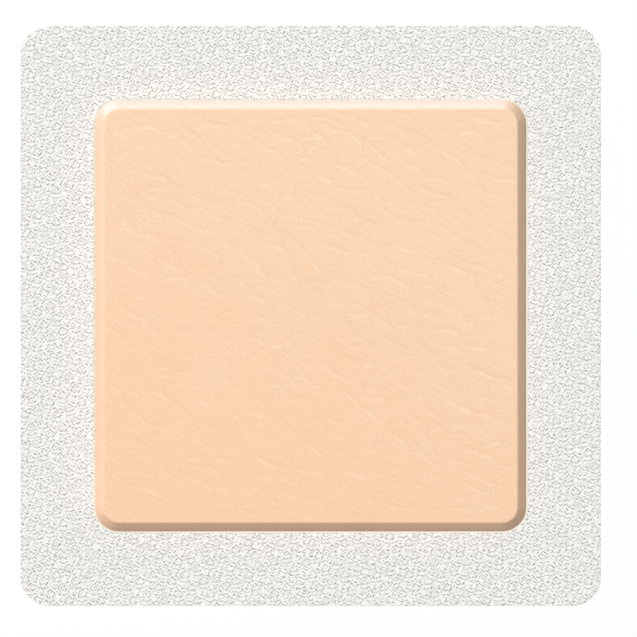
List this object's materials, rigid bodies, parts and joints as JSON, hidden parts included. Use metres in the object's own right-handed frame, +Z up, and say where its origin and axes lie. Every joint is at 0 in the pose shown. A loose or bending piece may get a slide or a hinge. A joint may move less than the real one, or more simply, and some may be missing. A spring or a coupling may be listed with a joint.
{
  "type": "silicone foam dressing",
  "caption": "Square bordered wound dressing lying wound side up: a nonwoven backing sheet with a raised foam pad under a creased silicone face with bevelled edges.",
  "frame": {"origin": "middle of the underside of the backing sheet, on the surface that the dressing lies on", "axes": "+Z up, from the backing sheet towards the wound side; +X to the right and +Y to the top of the picture, both along edges of the sheet"},
  "size_m": [0.15, 0.15, 0.005],
  "materials": {
    "nonwoven": "off-white crimped nonwoven with short pale grey creases, matt",
    "foam": "cream open-cell polymer foam, matt",
    "silicone": "skin-coloured soft silicone with fine leather-like creases, satin"
  },
  "bodies": {
    "root": {"backing_sheet": "nonwoven", "foam_core": "foam", "silicone_face": "silicone"}
  },
  "joints": []
}
